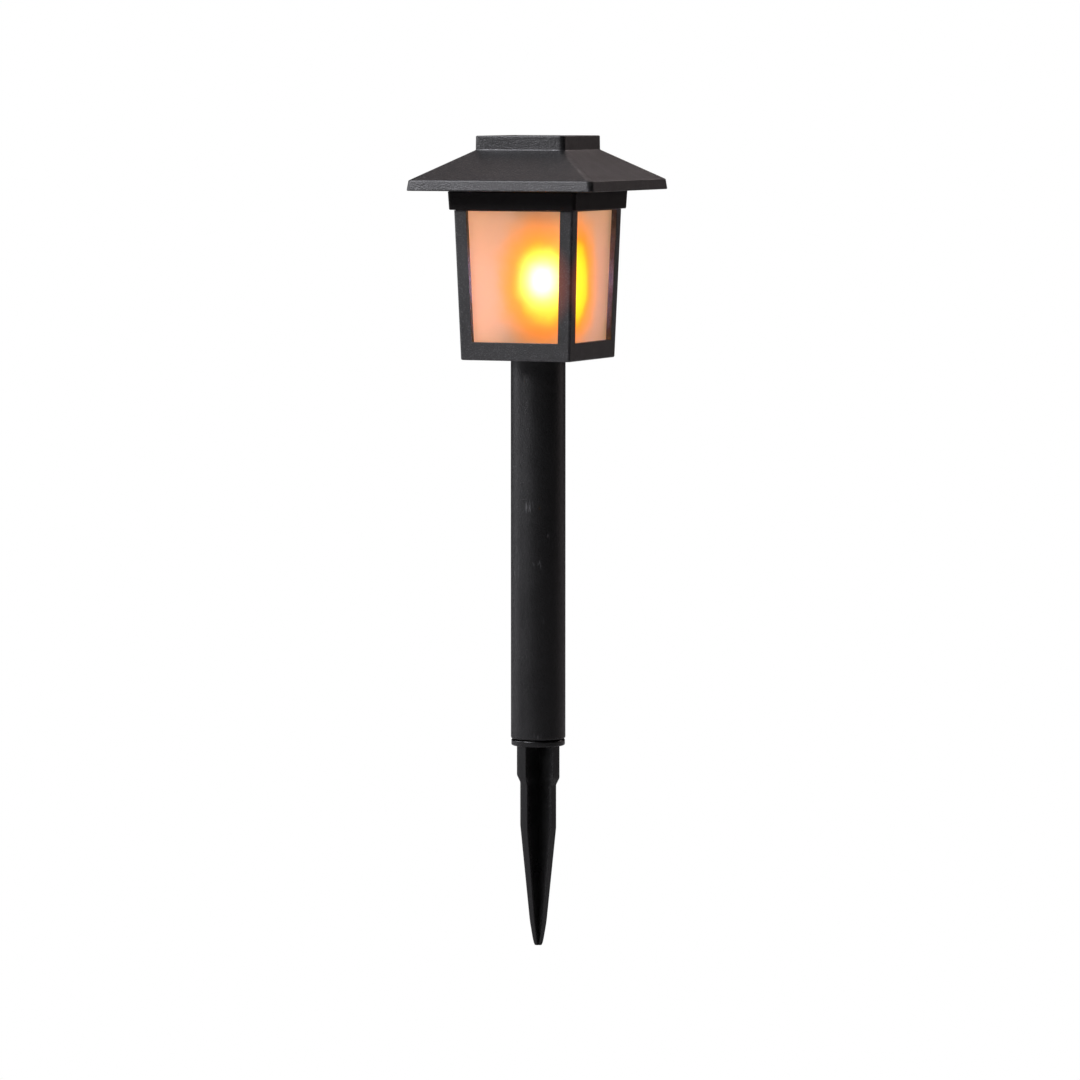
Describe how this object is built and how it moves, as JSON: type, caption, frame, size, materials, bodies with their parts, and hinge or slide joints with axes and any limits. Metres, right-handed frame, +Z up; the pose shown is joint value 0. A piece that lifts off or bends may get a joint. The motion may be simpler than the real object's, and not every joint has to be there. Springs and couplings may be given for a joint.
{
  "type": "solar lantern stake light",
  "caption": "Small square solar lantern with frosted amber windows under a hipped roof, on a round pole with a cross-ribbed ground stake.",
  "frame": {"origin": "on the pole's axis at the soil line, in the plane of the underside of the stake's flange", "axes": "+Z up along the pole, -Y out of the lantern's front window, +X to the right of someone who faces that window"},
  "size_m": [0.0568, 0.0568, 0.23],
  "materials": {
    "stake_plastic": "black moulded plastic, smooth and slightly glossy",
    "pole_plastic": "black extruded plastic, satin with fine scuffs",
    "lantern_plastic": "black moulded plastic with a fine stipple",
    "roof_plastic": "charcoal black moulded plastic with a fine stipple",
    "frosted_amber": "frosted translucent amber, lit from inside",
    "foam": "closed-cell foam pad",
    "circuit_laminate": "green glass-fibre board with solder mask",
    "silicon": "dark blue silicon with thin silver lines",
    "clear_resin": "clear cast resin",
    "battery_sleeve": "green shrink sleeve over a steel can",
    "contact_steel": "nickel-plated spring steel",
    "chip_resin": "black moulded resin",
    "coil_lacquer": "lacquered axial coil with colour bands",
    "switch_steel": "folded tinned steel",
    "knob_plastic": "white moulded plastic",
    "lamp_resin": "clear warm lamp resin, lit",
    "tinned_lead": "tinned wire",
    "holder_plastic": "black moulded plastic",
    "screw_steel": "zinc-plated steel",
    "wire_red": "red wire insulation",
    "wire_black": "black wire insulation"
  },
  "bodies": {
    "stake": {"ground_stake": "stake_plastic"},
    "pole": {"pole_tube": "pole_plastic"},
    "lantern": {"lantern_frame": "lantern_plastic", "window_liner": "frosted_amber"},
    "light_module": {"module_base": "roof_plastic", "roof_cap": "roof_plastic", "cell_foam": "foam", "cell_board": "circuit_laminate", "solar_cell": "silicon", "cell_cover": "clear_resin", "battery": "battery_sleeve", "battery_contact_plus": "contact_steel", "battery_contact_minus": "contact_steel", "battery_spring": "contact_steel", "circuit_board": "circuit_laminate", "driver_chip": "chip_resin", "driver_coil": "coil_lacquer", "switch_case": "switch_steel", "led_bulb": "lamp_resin", "led_lead_plus": "tinned_lead", "led_lead_minus": "tinned_lead", "led_holder": "holder_plastic", "base_screw_1": "screw_steel", "base_screw_2": "screw_steel", "base_screw_3": "screw_steel", "base_screw_4": "screw_steel", "panel_wire_red": "wire_red", "panel_wire_black": "wire_black", "battery_wire_red": "wire_red", "battery_wire_black": "wire_black"},
    "switch_slider": {"switch_knob": "knob_plastic"}
  },
  "joints": [
    {"name": "pole_swivel", "type": "hinge", "parent": "stake", "child": "pole", "pos_m": [0, 0, 0.002], "axis": [0, 0, 1], "continuous": true},
    {"name": "lantern_lift", "type": "slide", "parent": "pole", "child": "lantern", "axis": [0, 0, 1], "range_m": [0, 0.012]},
    {"name": "module_lift", "type": "slide", "parent": "lantern", "child": "light_module", "axis": [0, 0, 1], "range_m": [0, 0.032]},
    {"name": "switch_slide", "type": "slide", "parent": "light_module", "child": "switch_slider", "axis": [1, 0, 0], "range_m": [0, 0.002]}
  ]
}
